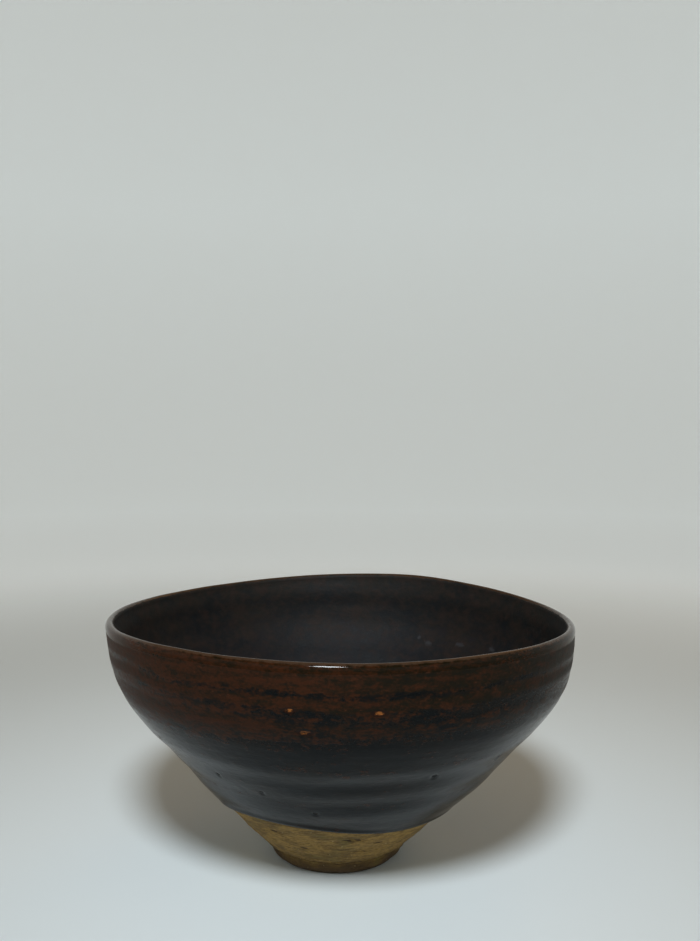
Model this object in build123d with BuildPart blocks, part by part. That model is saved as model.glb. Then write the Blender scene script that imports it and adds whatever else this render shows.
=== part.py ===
from build123d import *
from math import cos, hypot, pi, radians, sin
import os

# A thrown stoneware tea bowl on a small trimmed foot ring, coated inside and out with an iron
# glaze that stops in a wavy line above the bare clay of the foot.
# Millimetres, +Z up, origin at the centre of the plane that the foot ring rests on.
# Directions round the bowl are degrees from +X towards +Y.

# The clay wall, as (height, radius) up its outside and up the hollow inside it.
# Both outlines run on above the lip, which is cut through them.
outer_outline = [
    (4.2, 19.5),
    (8, 23.4),
    (12, 27.0),
    (18, 32.4),
    (24, 38.3),
    (30, 43.2),
    (36, 48.0),
    (42, 53.2),
    (48, 57.7),
    (54, 60.4),
    (60, 61.6),
    (65, 62.1),
    (70, 62.2),
    (76, 62.0),
]
inner_outline = [
    (8.9, 3.0),
    (10, 10.5),
    (12, 17.3),
    (15, 23.4),
    (21, 31.5),
    (27, 37.3),
    (33, 42.3),
    (42, 50.1),
    (48, 55.0),
    (54, 58.1),
    (60, 59.5),
    (66, 60.0),
    (76, 61.0),
]

# A surface inside the clay that parts the outside coat of glaze from the inside coat
mid_wall_outline = [
    (7, 5.0),
    (9, 17.0),
    (14, 25.5),
    (20, 32.3),
    (27, 39.1),
    (33, 44.0),
    (42, 51.7),
    (48, 56.4),
    (54, 59.3),
    (60, 60.6),
    (66, 61.0),
    (76, 61.5),
]

# Uneven shapes, each a mean height and its waves: (waves round the bowl, size, direction).
lip_height = 69.3
lip_waves = [(1, 0.48, 152), (2, 0.95, 155), (3, 0.45, -125), (4, 0.18, -123)]
glaze_line_height = 17.6
glaze_line_waves = [(1, 1.6, -94), (2, 1.4, 123), (3, 1.0, -39)]

# The wall goes slightly out of round as it rises.
out_of_round_waves = [(2, 0.35, 20), (3, 0.15, 70)]
true_height = 10
oval_height = 70

glaze_thickness = 0.6
glazed_lip_radius = 1.15
clay_lip_radius = 0.6

# Foot ring
foot_height = 4.2
foot_base_radius = 17.5
foot_top_radius = 18.6
foot_tenon = 1.0  # how far the ring runs up inside the wall
foot_edge = 0.4
recess_radius = 13.0
recess_top_radius = 11.6
recess_depth = 3.2
recess_dome = 0.8

# Pits burst through the outer glaze down to the clay: (height, direction, radius)
glaze_pits = [(58.3, 278, 1.0), (58.8, 262, 0.8), (53.4, 264, 0.8), (63.9, 77, 1.2)]
pit_narrowing = 0.6  # a pit's radius at the clay, as a share of its radius at the glaze surface
pit_overrun = 0.3  # how far a pit is cut past both faces of the glaze

# A white grain of feldspar held in the clay at the bottom of the last pit
grain_radius = 0.7
grain_length = 1.2
grain_depth = 0.15  # its outer end, below the glaze surface
grain_edge = 0.25

# A splash of glaze on the foot ring, the cap of a ball that stands out of the clay
splash_height = 2.6
splash_direction = 87
splash_radius = 2.2
splash_depth = 1.65  # from the clay surface to the middle of the ball

# Working sizes
ring_points = 16
wave_points = 32
cutter_inner_radius = 12
cutter_outer_radius = 80
cutter_depth = 20


def waved(angle, waves):
    """Sum of the waves at an angle in radians."""
    return sum(size * cos(count * angle - radians(turn)) for count, size, turn in waves)


def out_of_round(height, radius, angle):
    """A wall's radius at an angle, after the wall has gone out of round."""
    share = max(0, (height - true_height) / (oval_height - true_height))
    return radius + share * waved(angle, out_of_round_waves)


def moved_out(outline, amount):
    """An outline moved along its own normal, away from the axis if the amount is positive."""
    moved = []
    for index, (height, radius) in enumerate(outline):
        below = outline[max(index - 1, 0)]
        above = outline[min(index + 1, len(outline) - 1)]
        rise = above[0] - below[0]
        run = above[1] - below[1]
        slope = hypot(rise, run)
        moved.append((height - amount * run / slope, radius + amount * rise / slope))
    return moved


def thrown(outline):
    """A solid lofted through one slightly uneven ring at each point of an outline."""
    with BuildPart() as solid:
        for height, radius in outline:
            points = []
            for index in range(ring_points):
                angle = 2 * pi * index / ring_points
                reach = out_of_round(height, radius, angle)
                points.append((reach * cos(angle), reach * sin(angle)))
            with BuildSketch(Plane.XY.offset(height)):
                with BuildLine():
                    Spline(*points, periodic=True)
                make_face()
        loft()
    return solid.part


def wavy_ring(radius, height, waves):
    """A closed curve round the axis that rises and falls with the waves."""
    points = []
    for index in range(wave_points):
        angle = 2 * pi * index / wave_points
        points.append((radius * cos(angle), radius * sin(angle), height + waved(angle, waves)))
    return Spline(*points, periodic=True).edge()


def wavy_cutter(height, waves, direction):
    """A broad ring-shaped block that starts at a wavy surface and runs up or down from it."""
    inside = wavy_ring(cutter_inner_radius, height, waves)
    outside = wavy_ring(cutter_outer_radius, height, waves)
    surface = Face.make_surface_from_curves(inside, outside)
    with BuildPart() as block:
        extrude(surface, amount=cutter_depth, dir=direction)
    return block.part


def glaze_plane(height, direction, depth):
    """A plane that faces straight out from the axis, at a depth below the glaze's outer face."""
    angle = radians(direction)
    glazed = moved_out(outer_outline, glaze_thickness)
    pairs = zip(glazed, glazed[1:])
    low, high = next((low, high) for low, high in pairs if low[0] <= height <= high[0])
    radius = low[1] + (high[1] - low[1]) * (height - low[0]) / (high[0] - low[0])
    reach = out_of_round(height, radius, angle) - depth
    outward = (cos(angle), sin(angle), 0)
    return Plane(origin=(reach * cos(angle), reach * sin(angle), height), z_dir=outward)


def make_grain():
    height, direction, _ = glaze_pits[-1]
    with BuildPart() as feldspar_grain:
        with BuildSketch(glaze_plane(height, direction, grain_depth)):
            Circle(grain_radius)
        extrude(amount=-grain_length)
        fillet(feldspar_grain.edges().filter_by(GeomType.CIRCLE), radius=grain_edge)
    return feldspar_grain


def make_clay(feldspar_grain):
    with BuildPart() as clay_body:
        add(thrown(outer_outline))
        add(thrown(inner_outline), mode=Mode.SUBTRACT)
        lip_cutter = wavy_cutter(lip_height - glaze_thickness, lip_waves, (0, 0, 1))
        add(lip_cutter, mode=Mode.SUBTRACT)
        fillet(clay_body.edges().sort_by(Axis.Z)[-2:], radius=clay_lip_radius)
        with BuildSketch(Plane.XZ):
            with BuildLine():
                Polyline(
                    (0, recess_depth - recess_dome),
                    (recess_top_radius, recess_depth),
                    (recess_radius, 0),
                    (foot_base_radius, 0),
                    (foot_top_radius, foot_height),
                    (foot_top_radius, foot_height + foot_tenon),
                    (0, foot_height + foot_tenon),
                    close=True,
                )
            make_face()
        revolve()
        chamfer(clay_body.edges().group_by(Axis.Z)[0], length=foot_edge)
        add(feldspar_grain.part, mode=Mode.SUBTRACT)
    return clay_body


def glazed_form():
    """The bowl as it stands glazed: wall and both coats together, from the foot to the lip."""
    with BuildPart() as form:
        add(thrown(moved_out(outer_outline, glaze_thickness)))
        add(thrown(moved_out(inner_outline, -glaze_thickness)), mode=Mode.SUBTRACT)
        add(wavy_cutter(lip_height, lip_waves, (0, 0, 1)), mode=Mode.SUBTRACT)
        fillet(form.edges().sort_by(Axis.Z)[-2:], radius=glazed_lip_radius)
    return form.part


def make_outer_glaze(form, clay_body, feldspar_grain):
    with BuildPart() as outer_glaze:
        add(form)
        add(clay_body.part, mode=Mode.SUBTRACT)
        add(thrown(mid_wall_outline), mode=Mode.SUBTRACT)
        glaze_line_cutter = wavy_cutter(glaze_line_height, glaze_line_waves, (0, 0, -1))
        add(glaze_line_cutter, mode=Mode.SUBTRACT)
        for height, direction, radius in glaze_pits:
            with BuildSketch(glaze_plane(height, direction, -pit_overrun)):
                Circle(radius)
            with BuildSketch(glaze_plane(height, direction, glaze_thickness + pit_overrun)):
                Circle(radius * pit_narrowing)
            loft(mode=Mode.SUBTRACT)
        add(feldspar_grain.part, mode=Mode.SUBTRACT)
    return outer_glaze


def make_inner_glaze(form, clay_body):
    with BuildPart() as inner_glaze:
        add(form)
        add(clay_body.part, mode=Mode.SUBTRACT)
        add(thrown(mid_wall_outline), mode=Mode.INTERSECT)
    return inner_glaze


def make_splash(clay_body):
    angle = radians(splash_direction)
    foot_slope = (foot_top_radius - foot_base_radius) / foot_height
    reach = foot_base_radius + foot_slope * splash_height - splash_depth
    with BuildPart() as foot_glaze_splash:
        with Locations((reach * cos(angle), reach * sin(angle), splash_height)):
            Sphere(splash_radius)
        add(clay_body.part, mode=Mode.SUBTRACT)
    return foot_glaze_splash


feldspar_grain = make_grain()
clay_body = make_clay(feldspar_grain)
form = glazed_form()

pieces = {
    "clay_body": clay_body,
    "outer_glaze": make_outer_glaze(form, clay_body, feldspar_grain),
    "inner_glaze": make_inner_glaze(form, clay_body),
    "foot_glaze_splash": make_splash(clay_body),
    "feldspar_grain": feldspar_grain,
}

os.makedirs("parts", exist_ok=True)
for name, piece in pieces.items():
    piece.part.label = name
    export_step(piece.part, f"parts/{name}.step")
    print(name, round(piece.part.volume, 1), "mm3", "valid" if piece.part.is_valid else "NOT VALID")
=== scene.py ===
from math import ceil, cos, hypot, pi, radians, sin

import bpy
import numpy as np
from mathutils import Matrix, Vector
from mathutils.bvhtree import BVHTree


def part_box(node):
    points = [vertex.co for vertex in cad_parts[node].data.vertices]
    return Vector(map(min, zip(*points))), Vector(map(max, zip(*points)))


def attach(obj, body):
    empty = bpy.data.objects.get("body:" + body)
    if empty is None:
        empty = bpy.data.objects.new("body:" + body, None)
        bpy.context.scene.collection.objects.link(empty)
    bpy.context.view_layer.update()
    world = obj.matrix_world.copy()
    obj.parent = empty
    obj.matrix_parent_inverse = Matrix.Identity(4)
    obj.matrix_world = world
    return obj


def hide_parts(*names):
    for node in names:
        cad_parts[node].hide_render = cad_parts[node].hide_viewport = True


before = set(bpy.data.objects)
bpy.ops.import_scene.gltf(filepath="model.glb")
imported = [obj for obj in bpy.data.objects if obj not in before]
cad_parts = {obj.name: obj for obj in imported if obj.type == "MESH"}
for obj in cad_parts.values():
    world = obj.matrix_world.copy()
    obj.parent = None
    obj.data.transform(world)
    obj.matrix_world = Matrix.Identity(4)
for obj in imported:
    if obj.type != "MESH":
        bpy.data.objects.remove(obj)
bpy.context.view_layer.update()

# A thrown tea bowl: clay body, outer and inner coats of iron glaze, a splash of glaze on the foot
# and one white grain. Metres throughout; directions round the bowl are degrees from +X to +Y.

MM = 0.001
COLUMNS = 720          # mesh columns round the bowl
SPOKES = 48            # directions in which the CAD shape is read
WALL_WAVES = 4         # waves round the bowl that are kept of the wall that is read
LIP_WAVES = 4
GLAZE_LINE_WAVES = 3
FAR = 0.2              # a ray's start, well outside the bowl

angles = np.arange(COLUMNS) * 2 * pi / COLUMNS


# ---------------------------------------------------------------- reading the CAD shape

def tree_of(node):
    """A CAD node's surface, ready for rays to be cast at it."""
    return BVHTree.FromObject(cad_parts[node], bpy.context.evaluated_depsgraph_get())


def around(samples):
    """Samples at the spokes, as a smooth curve of a few waves read at every column."""
    spectrum = np.fft.rfft(samples, axis=-1) / SPOKES
    smooth = np.repeat(spectrum[..., :1].real, COLUMNS, axis=-1)
    for wave in range(1, WALL_WAVES + 1):
        turned = spectrum[..., wave:wave + 1] * np.exp(1j * wave * angles)
        smooth = smooth + 2 * turned.real
    return smooth


def softened(stations, spread):
    """A net smoothed along its stations, its ends carried on in a straight line."""
    reach = 3 * spread
    offsets = np.arange(-reach, reach + 1)
    weights = np.exp(-0.5 * (offsets / spread) ** 2)
    weights /= weights.sum()
    before = 2 * stations[:1] - stations[reach:0:-1]
    after = 2 * stations[-1:] - stations[-2:-reach - 2:-1]
    padded = np.concatenate([before, stations, after])
    rows = len(stations)
    return sum(weight * padded[k:k + rows] for k, weight in enumerate(weights))


def read_outside(tree, heights):
    """Radius of the clay's outside at each height and column."""
    samples = np.zeros((len(heights), SPOKES))
    for spoke in range(SPOKES):
        angle = 2 * pi * spoke / SPOKES
        outward = Vector((cos(angle), sin(angle), 0))
        for row, height in enumerate(heights):
            hit = tree.ray_cast(outward * FAR + Vector((0, 0, height)), -outward)[0]
            samples[row, spoke] = hypot(hit.x, hit.y)
    return around(samples)


def read_inside(tree, centre, fan):
    """Radius and height of the clay's inside along rays fanned out from a point on the axis."""
    radius = np.zeros((len(fan), SPOKES))
    height = np.zeros((len(fan), SPOKES))
    for spoke in range(SPOKES):
        angle = 2 * pi * spoke / SPOKES
        for row, tilt in enumerate(fan):
            aim = Vector((sin(tilt) * cos(angle), sin(tilt) * sin(angle), -cos(tilt)))
            hit = tree.ray_cast(Vector((0, 0, centre)), aim)[0]
            radius[row, spoke] = hypot(hit.x, hit.y)
            height[row, spoke] = hit.z
    return around(radius), around(height)


def edge_heights(node, wanted, waves):
    """The node's highest or lowest edge, as a smooth curve read at every column."""
    points = np.array([vertex.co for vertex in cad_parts[node].data.vertices])
    turn = np.arctan2(points[:, 1], points[:, 0]) % (2 * pi)
    bins = (turn / (2 * pi) * SPOKES).astype(int) % SPOKES
    rows, values = [], []
    for spoke in range(SPOKES):
        members = np.nonzero(bins == spoke)[0]
        best = members[wanted(points[members, 2])]
        rows.append(turn[best])
        values.append(points[best, 2])
    rows = np.array(rows)

    def terms(turns):
        columns = [np.ones_like(turns)]
        for wave in range(1, waves + 1):
            columns += [np.cos(wave * turns), np.sin(wave * turns)]
        return np.stack(columns, axis=1)

    fitted = np.linalg.lstsq(terms(rows), np.array(values), rcond=None)[0]
    return terms(angles) @ fitted


# ---------------------------------------------------------------- the bowl's measures

GLAZE = 0.6 * MM           # thickness of a coat
LIP_DROP = 1.5 * MM        # the lip starts to round over this far below its crest
OUTER_TAPER = 0.1 * MM     # how much the wall thins towards the lip on each side
INNER_TAPER = 0.8 * MM
TAPER_REACH = 7 * MM       # how far below the lip's rounding the thinning starts
# The thrown wall wanders off the CAD axis: (height, how far towards +X), in millimetres
WANDER = (
    (0, -0.8), (6, -0.7), (12, -0.4), (17, 0.0), (22, 0.5), (28, 1.05),
    (36, 1.15), (45, 1.15), (52, 1.0), (60, 0.65), (72, 0.35),
)
SHOULDER = 0.35 * MM       # the shoulder stands out this much
SHOULDER_HEIGHT = 57 * MM
SHOULDER_WIDTH = 8 * MM
LEDGE = 4.2 * MM           # height of the crease between foot ring and wall
NET_TOP = 66 * MM          # the CAD wall is read up to here, below its rounded lip
NET_STEP = 0.5 * MM
NET_MARGIN = 5 * MM        # the outside is carried on in a straight line past its top
NET_SPREAD = 3             # stations over which what is read is smoothed, outside and inside
FAN_SPREAD = 2
FAN_CENTRE = 45 * MM       # the inside is read by a fan of rays from here, on the axis
FAN_STEP = radians(1)
FAN_END = radians(109)     # from straight down to a little above level
FAN_MARGIN = 8             # stations that carry the inside on past its top


def carried_on(net, stations):
    """A net with extra stations past its end, in a straight line."""
    ahead = np.arange(1, stations + 1)[:, None] * (net[-1] - net[-4]) / 3
    return np.concatenate([net, net[-1] + ahead])


clay_tree = tree_of("clay_body")
lip = edge_heights("outer_glaze", np.argmax, LIP_WAVES)
glaze_line = edge_heights("outer_glaze", np.argmin, GLAZE_LINE_WAVES)

out_extra = ceil(NET_MARGIN / NET_STEP)
out_heights = np.arange(LEDGE + NET_STEP, NET_TOP, NET_STEP)
out_net = softened(read_outside(clay_tree, out_heights), NET_SPREAD)
out_net = carried_on(out_net, out_extra)
out_heights = np.append(out_heights, out_heights[-1] + NET_STEP * np.arange(1, out_extra + 1))

fan = np.arange(0, FAN_END, FAN_STEP)
fan_radius, fan_height = read_inside(clay_tree, FAN_CENTRE, fan)
fan_radius = carried_on(softened(fan_radius, FAN_SPREAD), FAN_MARGIN)
fan_height = carried_on(softened(fan_height, FAN_SPREAD), FAN_MARGIN)
fan_radius[0] = 0
fan = np.append(fan, fan[-1] + FAN_STEP * np.arange(1, FAN_MARGIN + 1))


def by_column(wanted, known, values):
    """Values read off at the wanted stations, one column at a time."""
    result = np.empty_like(wanted)
    for column in range(COLUMNS):
        at = known if known.ndim == 1 else known[:, column]
        result[:, column] = np.interp(wanted[:, column], at, values[:, column])
    return result


def leaning(height):
    """How far the wall stands out from the CAD shape: its wander off the axis and its shoulder."""
    levels, shifts = zip(*WANDER)
    lean = np.interp(height / MM, levels, shifts) * MM * np.cos(angles)
    return lean + SHOULDER * np.exp(-((height - SHOULDER_HEIGHT) / SHOULDER_WIDTH) ** 2)


def outside_wall(shares):
    """The clay's outside from the lip (share 1) down to the glaze line (share 0)."""
    heights = glaze_line + shares[:, None] * (lip - LIP_DROP - glaze_line)
    return by_column(heights, out_heights, out_net) + leaning(heights), heights


def inside_wall(shares):
    """The clay's inside from the middle of the well (share 0) up to the lip (share 1)."""
    upper = len(fan) // 2      # from here on each station is higher than the last
    tops = np.empty(COLUMNS)
    for column in range(COLUMNS):
        tops[column] = np.interp(lip[column] - LIP_DROP, fan_height[upper:, column], fan[upper:])
    tilts = shares[:, None] * tops
    heights = by_column(tilts, fan, fan_height)
    return by_column(tilts, fan, fan_radius) + leaning(heights), heights


def moved(radius, height, amount):
    """A net moved along its normal, to the left of the way that its rows run, seen with the radius
    to the right and the height up."""
    along_radius = np.gradient(radius, axis=0)
    along_height = np.gradient(height, axis=0)
    length = np.hypot(along_radius, along_height)
    return radius - amount * along_height / length, height + amount * along_radius / length


def lip_arch(inner, outer, crest, rows):
    """Rows over the lip, a half ellipse from the top of the inside to the top of the outside."""
    turn = np.linspace(0, pi, rows + 2)[1:-1, None]
    middle, half = (inner[0] + outer[0]) / 2, (outer[0] - inner[0]) / 2
    base = (inner[1] + outer[1]) / 2
    radius = middle - half * np.cos(turn)
    height = base - (outer[1] - inner[1]) / 2 * np.cos(turn) + (crest - base) * np.sin(turn)
    return radius, height


# ---------------------------------------------------------------- uneven surfaces

def ripple(seed, count, shortest, longest, radius, stretch=1.0):
    """A smooth seeded unevenness that joins up round the bowl: (angles, heights) to about -1 to 1.
    Wavelengths are in metres at the given radius; stretch makes its marks longer than tall."""
    random = np.random.default_rng(seed)
    lengths = np.exp(random.uniform(np.log(shortest), np.log(longest), count))
    leans = random.uniform(0, 2 * pi, count)
    phases = random.uniform(0, 2 * pi, count)
    laps = np.round(2 * pi * radius / lengths * np.cos(leans) / stretch)
    rises = 2 * pi / lengths * np.sin(leans)

    def value(turn, height):
        total = np.zeros(np.broadcast(turn, height).shape)
        for wave in range(count):
            total += np.cos(laps[wave] * turn + rises[wave] * height + phases[wave])
        return total / np.sqrt(count)

    return value


def bump_at(value, centre, width):
    """1 at the centre, falling smoothly to 0 within about two widths of it."""
    return np.exp(-((value - centre) / width) ** 2)


def spot(turn, height, radius, where, size):
    """1 in the middle of a small oval mark and 0 outside it. where: (height, direction in degrees),
    size: (half length round the bowl, half height), all in millimetres."""
    apart = (turn - radians(where[1]) + pi) % (2 * pi) - pi
    across = apart * radius / (size[0] * MM)
    up = (height - where[0] * MM) / (size[1] * MM)
    return np.exp(-(across ** 2 + up ** 2) ** 1.5)


# Throwing grooves round the outside: (height, depth, half width) in millimetres
GROOVES = (
    (65.6, 0.05, 1.3),
    (61.6, 0.05, 1.0),
    (56.8, 0.14, 1.4),
    (51.6, 0.10, 1.6),
    (47.0, 0.08, 2.2),
    (41.9, -0.14, 1.6),
    (37.8, 0.20, 1.9),
    (34.3, -0.06, 1.4),
    (30.6, 0.20, 1.9),
    (26.7, -0.05, 1.3),
    (23.6, 0.10, 1.4),
)
# Pits through the outer coat: (height, direction), (half length, half height), depth
PITS = (
    ((58.3, 278), (1.9, 0.55), 0.50),
    ((58.9, 260), (1.6, 0.55), 0.45),
    ((53.6, 263), (1.9, 0.55), 0.50),
    ((63.9, 77), (1.3, 1.1), 0.75),
)
# Small pinholes with a raised rim; their dark colour is painted shade
NICKS = (
    ((38.5, 296), (0.9, 0.6), 0.35),
    ((39.5, 318), (0.8, 0.6), 0.30),
    ((33.0, 246), (0.8, 0.5), 0.25),
    ((36.0, 232), (0.7, 0.5), 0.25),
    ((27.0, 262), (0.9, 0.5), 0.22),
    ((44.0, 100), (0.8, 0.6), 0.28),
    ((35.0, 66), (0.9, 0.6), 0.30),
    ((49.0, 45), (0.7, 0.6), 0.25),
    ((31.0, 120), (0.8, 0.5), 0.28),
    ((41.0, 175), (0.8, 0.5), 0.28),
    ((28.0, 12), (0.8, 0.5), 0.28),
)

# Sizes of the unevenness, outside and inside
GROOVE_WANDER = 0.9 * MM   # the throwing grooves rise and fall by this
OUTER_DENTS = 0.16 * MM
OUTER_SWELLS = 0.022 * MM
OUTER_GRAIN = 0.006 * MM
RIM_HEIGHT = 0.16          # raised rim of a pit, as a share of its depth
RIM_LENGTH = 1.7           # and as shares of its half length and half height
RIM_RISE = 1.9
RING_WANDER = 0.8 * MM     # the finger rings in the well
RING_PITCH = 6.4 * MM
RING_HEIGHT = 0.09 * MM
RING_REACH = 20 * MM       # they are whole from this radius outwards
INNER_DENTS = 0.14 * MM
INNER_SWELLS = 0.03 * MM
INNER_GRAIN = 0.010 * MM
CALM_RADIUS = 9 * MM       # the middle of the well is even
POOL_RING = 0.35 * MM      # a low ring round the bottom of the well
POOL_RADIUS = 13.5 * MM
POOL_WIDTH = 2.6 * MM

# Slow tilts, dents, swells and fine grain: seed, count, shortest and longest wave, radius.
# An angle added to turns below reads another stretch of the same unevenness.
turns = angles[None, :]
tilt_waves = ripple(11, 5, 120 * MM, 380 * MM, 60 * MM)
dents = ripple(12, 40, 22 * MM, 70 * MM, 55 * MM, stretch=1.6)
swells = ripple(13, 60, 6 * MM, 16 * MM, 55 * MM, stretch=2.5)
grain = ripple(14, 90, 1.8 * MM, 4.5 * MM, 55 * MM, stretch=1.6)


def outside_relief(radius, height):
    """Height of the glaze surface over an even coat, on the outside."""
    wander = GROOVE_WANDER * tilt_waves(turns, height * 0)
    fade = 0.6 + 0.4 * dents(turns + 2, height)    # the grooves come and go round the bowl
    relief = OUTER_DENTS * dents(turns, height) + OUTER_SWELLS * swells(turns, height)
    relief += OUTER_GRAIN * grain(turns, height)
    for level, depth, width in GROOVES:
        relief -= depth * MM * fade * bump_at(height, level * MM + wander, width * MM)
    for where, size, depth in PITS + NICKS:
        relief -= depth * MM * spot(turns, height, radius, where, size)
        wider = (size[0] * RIM_LENGTH, size[1] * RIM_RISE)
        relief += RIM_HEIGHT * depth * MM * spot(turns, height, radius, where, wider)
    return relief


def inside_relief(radius, height):
    """The same for the inside, with the wide rings that the potter's fingers left in the well."""
    wander = RING_WANDER * tilt_waves(turns + 1, height * 0)
    relief = INNER_DENTS * dents(turns + 4, height) + INNER_SWELLS * swells(turns + 4, height)
    relief += INNER_GRAIN * grain(turns + 4, height)
    rings = np.cos(2 * pi * (height + wander) / RING_PITCH) * np.clip(radius / RING_REACH, 0, 1)
    relief += RING_HEIGHT * rings * (0.7 + 0.3 * dents(turns + 5, height))
    relief *= np.clip(radius / CALM_RADIUS, 0, 1) ** 2
    relief += POOL_RING * bump_at(radius, POOL_RADIUS, POOL_WIDTH)
    return relief


# ---------------------------------------------------------------- meshes

SHARP_EDGE = radians(60)


def lathe(name, radius, height, paint, loop=False):
    """A mesh piece from rings, one radius and height for each row and column. A loop's last row
    joins its first; otherwise a point on the axis closes each end. paint holds named masks."""
    rows = len(radius)
    points = np.stack([radius * np.cos(turns), radius * np.sin(turns), height], axis=-1)
    points = points.reshape(-1, 3)
    index = np.arange(rows * COLUMNS).reshape(rows, COLUMNS)
    ahead = np.roll(index, -1, axis=1)
    below, below_ahead = np.roll(index, -1, axis=0), np.roll(ahead, -1, axis=0)
    quads = np.stack([index, below, below_ahead, ahead], axis=-1)
    if not loop:
        quads = quads[:-1]
    faces = quads.reshape(-1, 4).tolist()
    masks = {key: mask.reshape(-1) for key, mask in paint.items()}
    if not loop:
        first, last = rows * COLUMNS, rows * COLUMNS + 1
        ends = [[0, 0, height[0].mean()], [0, 0, height[-1].mean()]]
        points = np.concatenate([points, ends])
        faces += [[first, index[0, k], ahead[0, k]] for k in range(COLUMNS)]
        faces += [[last, ahead[-1, k], index[-1, k]] for k in range(COLUMNS)]
        masks = {key: np.append(mask, [mask[0], mask[-1]]) for key, mask in masks.items()}
    mesh = bpy.data.meshes.new(name)
    mesh.from_pydata(points.tolist(), [], faces)
    for key, mask in masks.items():
        attribute = mesh.attributes.new(key, "FLOAT", "POINT")
        attribute.data.foreach_set("value", mask.astype(np.float32))
    mesh.shade_smooth()
    mesh.set_sharp_from_angle(angle=SHARP_EDGE)
    piece = bpy.data.objects.new(name, mesh)
    bpy.context.scene.collection.objects.link(piece)
    return piece


def joined(*nets):
    """Nets of (radius, height) laid one after another along their rows."""
    return tuple(np.concatenate(parts) for parts in zip(*nets))


def part_of(net, rows):
    """One row of a net, or a slice of its rows."""
    return net[0][rows], net[1][rows]


def row_before(net, row):
    """A row halfway between a row of a net and the one before it."""
    return tuple((side[row - 1:row] + side[row:row + 1]) / 2 for side in net)


def gathered(start, end, count, gather=1.0):
    """Shares from start to end, closer together near the end if gather is over 1."""
    spaced = 1 - (1 - np.linspace(0, 1, count)) ** gather
    return start + (end - start) * spaced


LIP_ROWS = 40
HIDDEN_LIP_ROWS = 12
LIP_SWELLS = 0.06 * MM     # unevenness of the lip's crest
LIP_DENTS = 0.05 * MM
EDGE_SLOPE = 1.35          # length of wall for each unit of height at the glaze's lower edge
EDGE_ROUND = 0.7 * MM      # the edge rounds down to the clay over this distance
EDGE_CALM = 1.5 * MM       # the relief grows to its full size over this height above the edge
ROLL = 0.28 * MM           # extra thickness of the roll along that edge
ROLL_PLACE = 1.2 * MM
ROLL_WIDTH = 0.9 * MM
THINNEST = 0.12 * MM       # no coat is thinner than this above its edge

# Fine rows for what is seen, coarse ones for the hidden faces between glaze and clay
EDGE_SHARE = 0.05          # below this share of the wall its rows gather towards the edge
WELL_START = 0.012         # the well's first row, just off the axis
wall_shares = np.concatenate([gathered(1, EDGE_SHARE, 82), gathered(EDGE_SHARE, 0, 14, 1.6)[1:]])
hidden_shares = np.linspace(1, 0, 14)
well_shares = np.linspace(WELL_START, 1, 84)
hidden_well_shares = np.linspace(WELL_START, 1, 24)


def thinned(net, amount):
    """A side of the wall, moved inwards by an amount at the lip and less below it."""
    below = (lip - LIP_DROP - net[1]) / TAPER_REACH
    return moved(*net, -amount * np.clip(1 - below, 0, 1) ** 2)


def edge_profile(height):
    """Thickness of the outer coat at its lower edge, where it ends in a rounded roll."""
    distance = (height - glaze_line) * EDGE_SLOPE
    rounding = np.sqrt(1 - (1 - np.clip(distance / EDGE_ROUND, 0, 1)) ** 2)
    uneven = 0.7 + 0.5 * dents(turns + 3, height)
    swell = ROLL * uneven * bump_at(distance, ROLL_PLACE, ROLL_WIDTH)
    return rounding * (GLAZE + swell)


wall = thinned(outside_wall(wall_shares), OUTER_TAPER)
well = thinned(inside_wall(well_shares), INNER_TAPER)
calm = np.clip((wall[1] - glaze_line) / EDGE_CALM, 0, 1)
coat = edge_profile(wall[1])
relieved = coat + outside_relief(*wall) * calm
glazed_wall = moved(*wall, np.maximum(relieved, np.minimum(coat, THINNEST)))
glazed_well = moved(*well, np.maximum(GLAZE + inside_relief(*well), THINNEST))

lip_top = lip + LIP_SWELLS * swells(turns, lip * 0) + LIP_DENTS * dents(turns, lip * 0)
glazed_lip = lip_arch(part_of(glazed_well, -1), part_of(glazed_wall, 0), lip_top, LIP_ROWS)
hidden_wall = thinned(outside_wall(hidden_shares), OUTER_TAPER)
hidden_well = thinned(inside_wall(hidden_well_shares), INNER_TAPER)
hidden_lip = lip_arch(
    part_of(hidden_well, -1), part_of(hidden_wall, 0), lip - GLAZE, HIDDEN_LIP_ROWS
)
half = LIP_ROWS // 2
hidden_half = HIDDEN_LIP_ROWS // 2
crest = row_before(glazed_lip, half)
hidden_crest = row_before(hidden_lip, hidden_half)


# ---------------------------------------------------------------- painted masks

# The rows of the rust-brown zone: (distance below the lip in millimetres, how brown)
RUST_LEVELS = (
    (0.0, 0.95), (4.6, 0.90), (5.4, 0.80), (6.1, 0.38), (6.9, 0.42), (7.7, 1.00), (9.1, 0.96),
    (10.0, 0.34), (12.4, 0.28), (13.4, 0.47), (16.0, 0.45), (17.8, 0.24), (20.5, 0.08),
    (25.6, 0.04), (26.8, 0.19), (28.2, 0.03), (38.0, 0.03), (39.5, 0.18), (41.0, 0.03),
    (60.0, 0.0),
)
ROWS_DENTS = 0.6           # how far the rows rise and fall, in millimetres
ROWS_SWELLS = 0.3
ROWS_RISE = 0.6            # the rows stand this many millimetres higher on one side
ROWS_RISE_SIDE = radians(75)
# A browner patch low in the zone: its direction, its distance below the lip and its size
PATCH_TURN = radians(232)
PATCH_HALF_TURN = radians(30)
PATCH_DROP = 15.5
PATCH_HALF_DROP = 4.5
PATCH_LEVEL = 0.50
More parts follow.
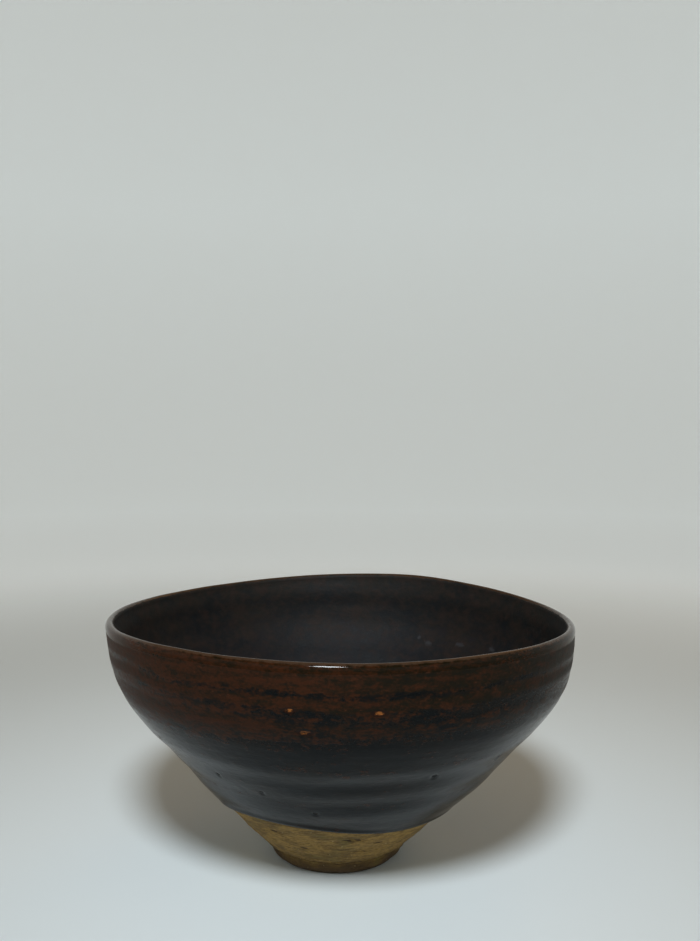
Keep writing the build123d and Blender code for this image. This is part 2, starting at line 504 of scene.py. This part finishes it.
# Rusty flecks in the black below: (height, direction), (half length, half height)
FLECK_LEVEL = 0.55
FLECKS = (
    ((32.0, 89), (2.0, 1.7)),
    ((27.5, 88), (2.4, 1.4)),
    ((24.0, 77), (1.6, 1.1)),
    ((24.5, 57), (1.8, 1.2)),
    ((32.5, 75), (1.4, 1.1)),
    ((43.0, 66), (1.6, 1.1)),
    ((43.5, 41), (1.8, 1.1)),
    ((39.0, 85), (13.0, 0.7)),
    ((29.5, 91), (8.0, 0.6)),
    ((40.5, 272), (0.9, 0.6)),
    ((42.0, 276), (0.8, 0.5)),
)


def rust_level(radius, height):
    """How brown the outer glaze has broken, from 0 (black) to 1, before its fine spots."""
    drop = (lip - height) / MM
    drop = drop + ROWS_DENTS * dents(turns + 1, height) + ROWS_SWELLS * swells(turns + 1, height)
    drop += ROWS_RISE * np.cos(turns - ROWS_RISE_SIDE)
    distances, levels = zip(*RUST_LEVELS)
    patch = bump_at((turns - PATCH_TURN + pi) % (2 * pi) - pi, 0, PATCH_HALF_TURN)
    patch = PATCH_LEVEL * patch * bump_at(drop, PATCH_DROP, PATCH_HALF_DROP)
    level = np.interp(drop, distances, levels) + patch
    for where, size in FLECKS:
        level += FLECK_LEVEL * spot(turns, height, radius, where, size)
    return level


LIP_FADE = 0.9 * MM        # height over which the worn crest and the smooth lip fade out
SMOOTH_REACH = 2.6 * MM    # the smooth lip ends this far below the crest
RED_SIDE = radians(155)    # the rust is redder towards this direction


def near_lip(height):
    """1 on the crest of the lip, where the glaze is worn thin, and 0 just below it."""
    return np.clip(1 - (lip - height) / LIP_FADE, 0, 1)


def on_lip(height):
    """1 over the whole rounded lip, which is worn smooth, and 0 below it."""
    return np.clip((SMOOTH_REACH - (lip - height)) / LIP_FADE, 0, 1)


def marked(net, marks):
    """1 in the middle of each of the marks on a net and 0 outside them. A mark's first two values
    say where it is and its size, as for a spot."""
    return np.clip(sum(spot(turns, net[1], net[0], *mark[:2]) for mark in marks), 0, 1)


def with_hidden(paint, net, hidden_rows):
    """A net's masks, each with blank rows for the hidden side of the piece."""
    blank = np.zeros((hidden_rows, COLUMNS))
    return {
        key: np.concatenate([np.broadcast_to(mask, net[0].shape), blank])
        for key, mask in paint.items()
    }


# Outer coat: from the crest of the lip down the outside, round the edge and back up the clay
surface = joined(crest, part_of(glazed_lip, slice(half, None)), glazed_wall)
under = joined(hidden_crest, part_of(hidden_lip, slice(hidden_half, None)), hidden_wall)
outer_paint = {
    "rust": rust_level(*surface),
    "lip": near_lip(surface[1]),
    "smooth": on_lip(surface[1]),
    "red_side": 0.5 + 0.5 * np.cos(turns - RED_SIDE),
    "bare": marked(surface, PITS),
    "nick": marked(surface, NICKS),
}
turned_under = part_of(under, slice(-2, None, -1))
outer_paint = with_hidden(outer_paint, surface, len(turned_under[0]))
outer_coat = lathe("outer_coat", *joined(surface, turned_under), outer_paint, loop=True)

# Inner coat: from the middle of the well up to the crest, and back down inside the clay
WELL_DEPTH = 60 * MM
# Short pale scuffs in the well: (height, direction), (half length, half height)
SCUFFS = (
    ((51.6, 62.5), (1.0, 0.45)),
    ((50.6, 61), (1.7, 0.45)),
    ((49.6, 59), (1.8, 0.45)),
    ((50.4, 48), (2.4, 0.40)),
    ((49.6, 44), (1.4, 0.35)),
    ((51.4, 34), (1.8, 0.40)),
    ((30.0, 200), (2.6, 0.35)),
    ((22.0, 300), (2.2, 0.35)),
)
surface = joined(glazed_well, part_of(glazed_lip, slice(None, half)), crest)
under = joined(hidden_well, part_of(hidden_lip, slice(None, hidden_half)), hidden_crest)
inner_paint = {
    "scuff": marked(surface, SCUFFS),
    "lip": near_lip(surface[1]),
    "depth": np.clip((lip - surface[1]) / WELL_DEPTH, 0, 1),
}
turned_under = part_of(under, slice(None, None, -1))
inner_paint = with_hidden(inner_paint, surface, len(turned_under[0]))
inner_coat = lathe("inner_coat", *joined(surface, turned_under), inner_paint)


# ---------------------------------------------------------------- bare clay and foot

def read_underside(tree, radii):
    """Height of the clay's underside at each radius, from straight below."""
    heights = []
    for radius in radii:
        hit = tree.ray_cast(Vector((radius, 0, -FAR)), Vector((0, 0, 1)))[0]
        heights.append(hit.z)
    return np.array(heights)


def read_foot(tree, heights):
    """Radius of the foot ring's outside at each height."""
    radii = []
    for height in heights:
        hit = tree.ray_cast(Vector((FAR, 0, height)), Vector((-1, 0, 0)))[0]
        radii.append(hit.x)
    return np.array(radii)


# Torn grooves and slits left by the trimming tool:
# (height, direction), (half length, half height), depth
GASHES = (
    ((16.0, 236), (2.2, 0.30), 0.50),
    ((14.6, 233), (1.5, 0.22), 0.35),
    ((14.9, 277), (3.2, 0.30), 0.55),
    ((12.9, 292), (1.6, 0.30), 0.35),
    ((11.0, 250), (1.8, 0.20), 0.30),
    ((9.6, 283), (2.0, 0.22), 0.30),
    ((8.0, 236), (1.5, 0.25), 0.35),
    ((7.9, 83), (2.6, 0.35), 0.65),
    ((6.8, 52), (2.2, 0.35), 0.60),
    ((12.2, 62), (2.0, 0.25), 0.40),
    ((13.6, 105), (1.8, 0.30), 0.45),
    ((10.2, 128), (2.4, 0.25), 0.40),
    ((9.0, 345), (2.0, 0.30), 0.40),
    ((12.8, 190), (2.4, 0.30), 0.45),
    ((7.4, 160), (1.6, 0.25), 0.35),
    ((2.4, 78), (1.6, 0.22), 0.40),
)
CLAY_GRAIN = 0.035 * MM
CLAY_LUMPS = 0.10 * MM
TURNING_LINES = 0.035 * MM
coarse = ripple(21, 140, 0.9 * MM, 2.6 * MM, 24 * MM, stretch=1.8)
lumps = ripple(22, 40, 4 * MM, 12 * MM, 24 * MM, stretch=2.0)
chatter = ripple(23, 24, 0.8 * MM, 1.6 * MM, 24 * MM, stretch=14)


def clay_relief(radius, height):
    """Height of the bare clay over its even shape: turning lines, sandy grain and gashes."""
    relief = CLAY_GRAIN * coarse(turns, height) + CLAY_LUMPS * lumps(turns, height)
    relief += TURNING_LINES * chatter(turns, height)
    for where, size, depth in GASHES:
        relief -= depth * MM * spot(turns, height, radius, where, size)
    return relief


FOOT_ROWS = 18
FOOT_GAP = 0.2 * MM        # the foot is read from this far below the crease
CHAMFER = 0.4 * MM
FOOT_BEVEL = 0.8 * MM      # the foot's worn lower edge draws in by this, below this height
FOOT_BEVEL_HEIGHT = 1.8 * MM
FOOT_BULGE = 0.3 * MM      # the foot's side swells out between its top and its bottom
FOOT_LUMPS = 0.10 * MM
FOOT_RELIEF = 0.6          # its relief, as a share of the bare wall's
BASE_GAP = 0.2 * MM        # the resting face starts this far inside the foot's lower edge
FINE_ROWS_END = 11.8 * MM  # radius where the rows over the resting face and into the recess end
RECESS_ROWS_START = 11 * MM
RECESS_ROWS_END = 0.6 * MM
BASE_RELIEF = 0.06 * MM
RECESS_FADE = 0.6 * MM     # the recess has its full relief from this height up
SHIFT_FADE = 8 * MM        # the middle of the recess stays on the axis
foot_heights = np.linspace(LEDGE - FOOT_GAP, CHAMFER, FOOT_ROWS)
foot_radii = read_foot(clay_tree, foot_heights)
base_reach = foot_radii[-1] - FOOT_BEVEL - BASE_GAP
base_radii = np.concatenate([
    np.linspace(base_reach, FINE_ROWS_END, 12),
    np.linspace(RECESS_ROWS_START, RECESS_ROWS_END, 8),
])
base_heights = read_underside(clay_tree, base_radii)

# Bare wall from under the glaze edge down to the crease above the foot ring
TUCK = 0.6 * MM            # the bare surface's relief starts this far below the glaze line
LEDGE_WAVER = 0.35 * MM    # the crease rises and falls by this
bare_shares = np.linspace(0, 1, 48)[1:, None]
ledge = LEDGE + NET_STEP + LEDGE_WAVER * lumps(turns + 2, turns * 0)
bare_heights = glaze_line + bare_shares * (ledge - glaze_line)
bare_net = by_column(bare_heights, out_heights, out_net) + leaning(bare_heights)
relief = clay_relief(bare_net, bare_heights)
relief *= np.clip((glaze_line - bare_heights) / TUCK, 0, 1)
bare_wall = moved(bare_net, bare_heights, relief)

# The crease, one row on its upper side and one inside it: how far out from the foot and how far
# below the wall's last row
CREASE_OUT = 0.35 * MM
CREASE_DROP = 0.35 * MM
CREASE_IN = 0.1 * MM
CREASE_IN_DROP = 0.5 * MM
FOOT_DROP = 0.75 * MM      # the foot's own first row
ones = np.ones((1, COLUMNS))
foot_shift = leaning(ones * foot_heights[0])
crease = (foot_radii[0] + CREASE_OUT + foot_shift, ledge - CREASE_DROP)
crease_in = (foot_radii[0] - CREASE_IN + foot_shift, ledge - CREASE_IN_DROP)
foot_shares = (foot_heights[:, None] - CHAMFER) / (foot_heights[0] - CHAMFER)
foot_high = CHAMFER + foot_shares * (ledge - FOOT_DROP - CHAMFER)
foot_net = foot_radii[:, None] * ones + foot_shift
foot_bulge = FOOT_BULGE * np.sin(pi * foot_shares) + FOOT_LUMPS * lumps(turns + 1, foot_high)
foot_bulge -= FOOT_BEVEL * np.clip(1 - foot_high / FOOT_BEVEL_HEIGHT, 0, 1) ** 2
foot_relief = FOOT_RELIEF * clay_relief(foot_net, foot_high) + foot_bulge
foot_side = moved(foot_net, foot_high, foot_relief)
base_shift = foot_shift * np.clip(base_radii[:, None] / SHIFT_FADE, 0, 1)
base_net = base_radii[:, None] * ones + base_shift
base_high = base_heights[:, None] * ones
recessed = np.clip(base_high / RECESS_FADE, 0, 1)
uneven = coarse(turns, base_net) + lumps(turns, base_net)
base_high = base_high + BASE_RELIEF * recessed * uneven
base_high = np.maximum(base_high, 0)

GASH_INNER = 15 * MM       # no gash reaches further in than this radius
CREASE_SHADE = 0.45 * MM   # the painted shade line in the crease, below the wall's last row
CREASE_HALF = 0.4 * MM
FOOT_TINT = 7 * MM         # the clay is redder below this height
FLASH_REACH = 2.2 * MM     # and redder for this far below the glaze
clay_surface = joined(
    hidden_well, hidden_lip, hidden_wall, bare_wall, crease, crease_in, foot_side,
    (base_net, base_high),
)
clay_radius, clay_height = clay_surface
outside_rows = np.arange(len(clay_radius))[:, None] >= len(hidden_well[0]) + len(hidden_lip[0])
clay_paint = {
    # the gash and crease masks say where shade is painted into the clay's gashes and crease
    "gash": marked(clay_surface, GASHES) * outside_rows * (clay_radius > GASH_INNER),
    "crease": bump_at(clay_height, ledge - CREASE_SHADE, CREASE_HALF) * outside_rows,
    "foot": np.clip(1 - clay_height / FOOT_TINT, 0, 1) * outside_rows,
    "flash": np.clip(1 - (glaze_line - clay_height) / FLASH_REACH, 0, 1) * outside_rows,
}
clay = lathe("thrown_clay", *clay_surface, clay_paint)


# ---------------------------------------------------------------- small pieces

LUMP_WAVES = 14
LUMP_BUMPS = 2.2           # the higher, the closer together are a lump's bumps


def lump(name, node, size, roughness, seed, subdivisions):
    """An uneven closed lump in the middle of a CAD node. size: half lengths across, out and up."""
    low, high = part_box(node)
    middle = (low + high) / 2
    outward = Vector((middle.x, middle.y, 0)).normalized()
    across = Vector((-outward.y, outward.x, 0))
    bpy.ops.mesh.primitive_ico_sphere_add(subdivisions=subdivisions, radius=1)
    piece = bpy.context.object
    piece.name = piece.data.name = name
    random = np.random.default_rng(seed)
    pushes = random.normal(size=(LUMP_WAVES, 3)) * LUMP_BUMPS
    phases = random.uniform(0, 2 * pi, LUMP_WAVES)
    for vertex in piece.data.vertices:
        direction = np.array(vertex.co)
        swell = 1 + roughness * np.cos(pushes @ direction + phases).sum() / LUMP_WAVES ** 0.5
        x, y, z = direction * swell
        rise = Vector((0, 0, z * size[2]))
        vertex.co = middle + across * x * size[0] + outward * y * size[1] + rise
    piece.data.shade_smooth()
    return piece


SPLASH_SIZE = (1.55 * MM, 0.5 * MM, 1.25 * MM)
GRAIN_SIZE = (0.75 * MM, 0.85 * MM, 0.62 * MM)
splash = lump(
    "splash_of_glaze", "foot_glaze_splash", SPLASH_SIZE, roughness=0.16, seed=31, subdivisions=5
)
white_grain = lump(
    "white_grain", "feldspar_grain", GRAIN_SIZE, roughness=0.12, seed=32, subdivisions=4
)


# ---------------------------------------------------------------- materials

def srgb(red, green, blue):
    """A shader colour from the usual 0 to 255 values."""
    channels = [value / 255 for value in (red, green, blue)]
    linear = [c / 12.92 if c <= 0.04045 else ((c + 0.055) / 1.055) ** 2.4 for c in channels]
    return (*linear, 1)


class Shading:
    """A material being wired up, with a short call for each kind of node used here."""

    def __init__(self, name):
        self.material = bpy.data.materials.new(name)
        self.material.use_nodes = True
        self.tree = self.material.node_tree
        self.shader = self.tree.nodes["Principled BSDF"]
        self.place = self.node("TexCoord", "Object", {})

    def node(self, kind, output, inputs, **settings):
        """A new shader node with its inputs fed; gives the output that is asked for."""
        made = self.tree.nodes.new("ShaderNode" + kind)
        for key, value in settings.items():
            setattr(made, key, value)
        for key, value in inputs.items():
            self.feed(made.inputs[key], value)
        return made.outputs[output]

    def feed(self, socket, value):
        """Links a node's output to a socket, or sets the socket to a plain value."""
        if isinstance(value, bpy.types.NodeSocket):
            self.tree.links.new(value, socket)
        else:
            socket.default_value = value

    def set(self, **sockets):
        """Sets or wires the shader's own inputs."""
        for key, value in sockets.items():
            self.feed(self.shader.inputs[key.replace("_", " ")], value)

    def mask(self, name):
        """A mask painted on the mesh."""
        return self.node("Attribute", "Fac", {}, attribute_name=name)

    def noise(self, wavelength, stretch, detail, seed):
        """Noise about 0 with marks of a wavelength in millimetres, longer than tall by stretch."""
        scale = {"Vector": self.place, "Scale": (1, 1, stretch), "Location": (seed, seed, seed)}
        placed = self.node("Mapping", "Vector", scale)
        inputs = {"Vector": placed, "Scale": 1000 / wavelength, "Detail": detail}
        value = self.node("TexNoise", "Fac", inputs)
        return self.sum(value, -0.5)

    def sum(self, first, second):
        return self.node("Math", 0, {0: first, 1: second}, operation="ADD")

    def product(self, first, second):
        return self.node("Math", 0, {0: first, 1: second}, operation="MULTIPLY")

    def blend(self, *pairs):
        """A sum of values, each with its own weight."""
        total = self.product(*pairs[0])
        for pair in pairs[1:]:
            total = self.sum(total, self.product(*pair))
        return total

    def level(self, value, low, high, start=0.0, end=1.0):
        """A smooth step from start to end as a value goes from low to high."""
        inputs = {"Value": value, "From Min": low, "From Max": high, "To Min": start, "To Max": end}
        return self.node("MapRange", "Result", inputs, interpolation_type="SMOOTHSTEP")

    def mix(self, share, first, second):
        """The first colour at share 0, the second at share 1."""
        return self.node("Mix", 2, {0: share, 6: first, 7: second}, data_type="RGBA")

    def bump(self, height, distance):
        """Fine relief, with a distance in millimetres."""
        inputs = {"Height": height, "Distance": distance * MM, "Strength": 1.0}
        return self.node("Bump", "Normal", inputs)

    def worn(self, spots, specks):
        """Where the glaze is worn thin along the crest of the lip."""
        places = self.blend((self.mask("lip"), 1), (spots, 0.7), (specks, 0.4))
        return self.level(places, 0.35, 0.85)


# Outer glaze
GLAZE_IOR = 1.25
# the cool black is the glaze's own varying colour plus a teal tint that stands in for its sheen:
# partly painted sheen
BLACK_COOL_AND_SHEEN = srgb(8, 12, 14)
BLACK_WARM = srgb(18, 17, 15)
RUST_DARK = srgb(24, 19, 8)
RUST_LIGHT = srgb(56, 29, 12)
FLECK_COLOUR = srgb(64, 38, 22)
LIP_COLOUR = srgb(66, 50, 38)
# painted shade round the pits
PIT_RIM_SHADE = srgb(34, 17, 9)
PIT_CLAY = srgb(144, 90, 44)
# painted shade inside the pinholes
NICK_SHADE = srgb(8, 8, 8)
# Inner glaze
INNER_IOR = 1.32
INNER_COOL = srgb(14, 17, 21)
INNER_WARM = srgb(29, 24, 27)
OLIVE_DARK = srgb(24, 24, 15)
OLIVE_LIGHT = srgb(38, 28, 23)
SCUFF_HAZE = srgb(47, 46, 48)
# Bare clay
CLAY_ROUGHNESS = 0.86
CLAY_DARK = srgb(92, 70, 31)
CLAY_LIGHT = srgb(148, 119, 62)
CLAY_GREEN = srgb(112, 102, 54)
CLAY_RED = srgb(78, 59, 32)
CLAY_FLASH = srgb(116, 74, 34)
CLAY_IRON = srgb(74, 52, 26)
CLAY_SAND = srgb(182, 162, 122)
# painted shade for the gashes and the crease
CLAY_GASH_SHADE = srgb(54, 36, 18)
# Splash and white grain
SPLASH_IOR = 1.5
SPLASH_ROUGHNESS = 0.22
SPLASH_DARK = srgb(22, 26, 18)
SPLASH_LIGHT = srgb(52, 56, 34)
GRAIN_ROUGHNESS = 0.6
GRAIN_DARK = srgb(170, 160, 142)
GRAIN_LIGHT = srgb(232, 228, 216)


def outer_glaze_material():
    """Iron glaze, black where it lies thick and rust-brown where it broke below the lip."""
    m = Shading("outer_iron_glaze")
    clouds = m.noise(15, 2.2, 3, 0.1)
    blotches = m.noise(4.4, 2.6, 4, 0.2)
    spots = m.noise(1.6, 1.8, 4, 0.3)
    specks = m.noise(0.7, 1.4, 2, 0.4)
    streaks = m.noise(9, 7.0, 4, 0.5)
    side = m.sum(m.mask("red_side"), -0.25)
    places = m.blend(
        (m.mask("rust"), 1.15), (clouds, 0.5), (blotches, 1.0), (spots, 1.3), (specks, 0.9),
        (streaks, 0.5), (side, 0.16),
    )
    brown = m.level(places, 0.16, 0.86)
    warmth = m.blend((blotches, 0.8), (spots, 0.9), (specks, 0.9), (streaks, 0.9), (side, 0.45))
    rust = m.mix(m.level(warmth, -0.28, 0.40), RUST_DARK, RUST_LIGHT)
    cool = m.level(clouds, -0.15, 0.15)
    # black glaze varying at random, its cool side tinted teal as painted sheen
    black = m.mix(cool, BLACK_COOL_AND_SHEEN, BLACK_WARM)
    colour = m.mix(brown, black, rust)
    fleck = m.level(m.blend((spots, 1.0), (specks, 1.0), (m.mask("rust"), 0.10)), 0.34, 0.46)
    colour = m.mix(fleck, colour, FLECK_COLOUR)
    worn = m.worn(spots, specks)
    colour = m.mix(worn, colour, LIP_COLOUR)
    # painted shade: a dark ring round each pit
    rim = m.level(m.blend((m.mask("bare"), 1), (specks, 0.5)), 0.10, 0.40)
    colour = m.mix(rim, colour, PIT_RIM_SHADE)
    bare = m.level(m.blend((m.mask("bare"), 1), (specks, 1.0)), 0.62, 0.95)
    colour = m.mix(bare, colour, PIT_CLAY)
    # painted shade: the pinholes are darkened near black
    dark = m.level(m.mask("nick"), 0.4, 0.8)
    colour = m.mix(dark, colour, NICK_SHADE)
    dull = m.blend(
        (m.mask("rust"), 0.9), (brown, 0.15), (streaks, 0.5), (spots, 0.4), (specks, 0.5),
        (m.mask("smooth"), -1.9), (dark, 2),
    )
    rough = m.level(dull, -0.4, 1.2, 0.10, 0.52)
    fine = m.product(m.blend((spots, 0.6), (specks, 0.3)), m.level(brown, 0, 1, 0.35, 1.0))
    bumps = m.blend((blotches, 0.5), (fine, 1), (brown, 0.08), (streaks, 0.35))
    bumps = m.product(bumps, m.level(m.mask("smooth"), 0, 1, 1, 0.2))
    m.set(Base_Color=colour, Roughness=rough, IOR=GLAZE_IOR, Normal=m.bump(bumps, 0.10))
    return m.material


def inner_glaze_material():
    """The glaze inside, duller, olive-brown towards the lip and black down in the well."""
    m = Shading("inner_iron_glaze")
    clouds = m.noise(14, 1.3, 3, 1.1)
    blotches = m.noise(5.0, 1.4, 4, 1.2)
    spots = m.noise(2.0, 1.2, 4, 1.3)
    specks = m.noise(0.7, 1.0, 2, 1.4)
    depth = m.mask("depth")
    places = m.blend((depth, -1.2), (clouds, 1.2), (blotches, 1.5), (spots, 1.0), (specks, 0.6))
    brown = m.level(places, -0.85, 0.35)
    warmth = m.level(m.blend((blotches, 0.7), (spots, 0.7)), -0.2, 0.2)
    rust = m.mix(warmth, OLIVE_DARK, OLIVE_LIGHT)
    cool = m.level(m.blend((clouds, 1), (spots, 0.6)), -0.18, 0.18)
    black = m.mix(cool, INNER_COOL, INNER_WARM)
    colour = m.mix(brown, black, rust)
    worn = m.worn(spots, specks)
    colour = m.mix(worn, colour, LIP_COLOUR)
    haze = m.level(m.blend((m.mask("scuff"), 1), (spots, 0.9), (specks, 0.7)), 0.30, 0.75)
    colour = m.mix(haze, colour, SCUFF_HAZE)
    dull = m.blend((clouds, 1.0), (spots, 0.8), (specks, 0.6), (worn, -2.0))
    rough = m.level(dull, -2.4, 0.5, 0.12, 0.70)
    bumps = m.blend((blotches, 1.0), (spots, 0.6), (specks, 0.25))
    m.set(Base_Color=colour, Roughness=rough, IOR=INNER_IOR, Normal=m.bump(bumps, 0.12))
    return m.material


def clay_material():
    """Buff sandy stoneware, redder by the glaze and on the foot, with painted shade in the gashes
    and the crease.
    """
    m = Shading("bare_clay")
    clouds = m.noise(9, 1.8, 3, 2.1)
    streaks = m.noise(3.0, 9.0, 4, 2.2)
    sand = m.noise(1.1, 1.6, 3, 2.3)
    grit = m.noise(0.5, 1.0, 2, 2.4)
    tone = m.blend((clouds, 0.9), (streaks, 1.3), (sand, 0.6), (grit, 0.35))
    colour = m.mix(m.level(tone, -0.28, 0.28), CLAY_DARK, CLAY_LIGHT)
    greenish = m.level(m.blend((clouds, -1.0), (streaks, 0.5)), 0.02, 0.45)
    colour = m.mix(greenish, colour, CLAY_GREEN)
    reddish = m.blend((m.mask("foot"), 0.9), (clouds, 1.9), (streaks, 0.8))
    colour = m.mix(m.level(reddish, 0.16, 0.75), colour, CLAY_RED)
    flash = m.level(m.blend((m.mask("flash"), 1), (clouds, 0.9), (streaks, 0.4)), 0.55, 1.05)
    colour = m.mix(flash, colour, CLAY_FLASH)
    dark = m.level(m.blend((sand, 0.7), (grit, 1.0), (streaks, 0.9)), 0.40, 0.60)
    colour = m.mix(dark, colour, CLAY_IRON)
    pale = m.level(m.blend((sand, -1.0), (grit, 0.9)), 0.27, 0.34)
    colour = m.mix(pale, colour, CLAY_SAND)
    # painted shade: the gashes and the crease are darkened where shade falls in them
    gash_and_crease_shade = m.level(m.blend((m.mask("gash"), 1), (grit, 0.4)), 0.25, 0.6)
    crease = m.level(m.blend((m.mask("crease"), 1), (sand, 1.0)), 0.2, 0.9)
    gash_and_crease_shade = m.node("Math", 0, {0: gash_and_crease_shade, 1: crease}, operation="MAXIMUM")
    colour = m.mix(gash_and_crease_shade, colour, CLAY_GASH_SHADE)
    bumps = m.blend((streaks, 1.0), (sand, 1.0), (grit, 0.5))
    m.set(Base_Color=colour, Roughness=CLAY_ROUGHNESS, Normal=m.bump(bumps, 0.30))
    return m.material


def splash_material():
    """A thin glassy splash, olive over the clay."""
    m = Shading("splash_glaze")
    clouds = m.noise(1.2, 1.0, 3, 3.1)
    colour = m.mix(m.level(clouds, -0.15, 0.15), SPLASH_DARK, SPLASH_LIGHT)
    normal = m.bump(clouds, 0.05)
    m.set(Base_Color=colour, Roughness=SPLASH_ROUGHNESS, IOR=SPLASH_IOR, Normal=normal)
    return m.material


def grain_material():
    """White feldspar, slightly mottled."""
    m = Shading("white_grain")
    clouds = m.noise(0.5, 1.0, 3, 4.1)
    colour = m.mix(m.level(clouds, -0.2, 0.2), GRAIN_DARK, GRAIN_LIGHT)
    m.set(Base_Color=colour, Roughness=GRAIN_ROUGHNESS, Normal=m.bump(clouds, 0.08))
    return m.material


for piece, node, slot, material in (
    (clay, "clay_body", "bare_clay", clay_material()),
    (outer_coat, "outer_glaze", "outer_iron_glaze", outer_glaze_material()),
    (inner_coat, "inner_glaze", "inner_iron_glaze", inner_glaze_material()),
    (splash, "foot_glaze_splash", "splash_glaze", splash_material()),
    (white_grain, "feldspar_grain", "white_grain", grain_material()),
):
    piece.data.materials.clear()
    piece.data.materials.append(material)
    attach(piece, "root")
    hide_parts(node)


# ---------------------------------------------------------------- stage, light and camera

PAPER = (0.74, 0.79, 0.80, 1)
PAPER_ROUGHNESS = 0.7
PAPER_SHEEN = 0.2
PAPER_FADE = (0.20, 0.62)  # the glow grows between these distances from the axis
PAPER_GLOW = 0.37
GLOW_COLOUR = (0.74, 0.785, 0.80, 1)
# Disk lights: name, place, what it points at, size, power, spread in degrees, colour
LIGHTS = (
    ("key", (-0.02, -0.36, 0.44), (0, 0.06, 0.03), 0.12, 0.48, 75, (0.93, 1.0, 1.06)),
    ("fill", (0.25, 0.45, 0.50), (0.02, 0.03, 0.03), 0.30, 0.09, 120, (1.0, 0.55, 0.22)),
)
SKY = 0.16
SKY_COLOUR = (1.0, 0.64, 0.28, 1)
CONTRAST = 0.9             # the view's gamma; below 1 darkens the shades
STAGE_SEGMENTS = 128
STAGE_RADII = (0.05, 0.15, 0.3, 0.5, 0.8)
STAGE_FLAT = 1.15          # radius where the floor starts to curve up
STAGE_CURVE = 0.5          # radius of that curve
STAGE_CURVE_STEPS = 24
STAGE_TOP = 1.2            # height of the wall


def stage_profile():
    """The floor as (radius, height), flat and then curving up into a wall all round."""
    rows = [(radius, 0) for radius in STAGE_RADII]
    for step in range(STAGE_CURVE_STEPS + 1):
        turn = radians(90) * step / STAGE_CURVE_STEPS
        rows.append((STAGE_FLAT + STAGE_CURVE * sin(turn), STAGE_CURVE * (1 - cos(turn))))
    rows.append((STAGE_FLAT + STAGE_CURVE, STAGE_TOP))
    return rows


def paper_material():
    """Pale paper that glows a little far from the bowl, where the lights don't reach."""
    m = Shading("paper")
    across = m.node("Mapping", "Vector", {"Vector": m.place, "Scale": (1, 1, 0)})
    away = m.node("VectorMath", "Value", {0: across}, operation="LENGTH")
    glow = m.level(away, *PAPER_FADE, 0, PAPER_GLOW)
    m.set(Base_Color=PAPER, Roughness=PAPER_ROUGHNESS, Specular_IOR_Level=PAPER_SHEEN)
    m.set(Emission_Color=GLOW_COLOUR, Emission_Strength=glow)
    return m.material


def make_stage():
    """The floor and its wall, as one smooth sheet of paper turned round the axis."""
    rows = stage_profile()
    points = [(0, 0, 0)]
    for radius, height in rows:
        for k in range(STAGE_SEGMENTS):
            turn = 2 * pi * k / STAGE_SEGMENTS
            points.append((radius * cos(turn), radius * sin(turn), height))
    faces = [(0, 1 + k, 1 + (k + 1) % STAGE_SEGMENTS) for k in range(STAGE_SEGMENTS)]
    for row in range(len(rows) - 1):
        first = 1 + row * STAGE_SEGMENTS
        for k in range(STAGE_SEGMENTS):
            here, ahead = first + k, first + (k + 1) % STAGE_SEGMENTS
            faces.append((here, here + STAGE_SEGMENTS, ahead + STAGE_SEGMENTS, ahead))
    mesh = bpy.data.meshes.new("stage")
    mesh.from_pydata(points, [], faces)
    mesh.shade_smooth()
    mesh.materials.append(paper_material())
    stage = bpy.data.objects.new("stage", mesh)
    bpy.context.scene.collection.objects.link(stage)


def area_light(name, place, target, size, power, spread, colour):
    """A disk that shines towards a target, and that the camera doesn't see."""
    data = bpy.data.lights.new(name, "AREA")
    data.shape = "DISK"
    data.size, data.energy, data.color = size, power, colour
    light = bpy.data.objects.new(name, data)
    light.location = place
    light.rotation_euler = (Vector(target) - Vector(place)).to_track_quat("-Z", "Y").to_euler()
    light.visible_camera = False
    data.spread = radians(spread)
    bpy.context.scene.collection.objects.link(light)


make_stage()
for light in LIGHTS:
    area_light(*light)

world = bpy.data.worlds.new("studio")
world.use_nodes = True
background = world.node_tree.nodes["Background"]
background.inputs["Color"].default_value = SKY_COLOUR
background.inputs["Strength"].default_value = SKY
bpy.context.scene.world = world
bpy.context.scene.view_settings.view_transform = "Standard"
bpy.context.scene.view_settings.gamma = CONTRAST

# The camera looks a little down at the bowl, which stands in the lower half of the frame.
FRAME_HEIGHT = 941         # pixels on the frame's long side
FOCAL_PIXELS = 1000
FILM_WIDTH = 36
NEAR_CLIP = 0.01
VIEW_DISTANCE = 0.2699
VIEW_HEIGHT = 0.1197
VIEW_TILT = 11.085         # degrees down from level
VIEW_RISE = 0.159          # lens shifts, as shares of the frame's long side
VIEW_SIDE = 0.0116

camera_data = bpy.data.cameras.new("camera")
camera_data.sensor_width = FILM_WIDTH
camera_data.lens = FOCAL_PIXELS / FRAME_HEIGHT * camera_data.sensor_width
camera_data.shift_x = VIEW_SIDE
camera_data.shift_y = VIEW_RISE
camera_data.clip_start = NEAR_CLIP
camera = bpy.data.objects.new("camera", camera_data)
camera.location = (0, -VIEW_DISTANCE, VIEW_HEIGHT)
camera.rotation_euler = (radians(90 - VIEW_TILT), 0, 0)
bpy.context.scene.collection.objects.link(camera)
bpy.context.scene.camera = camera
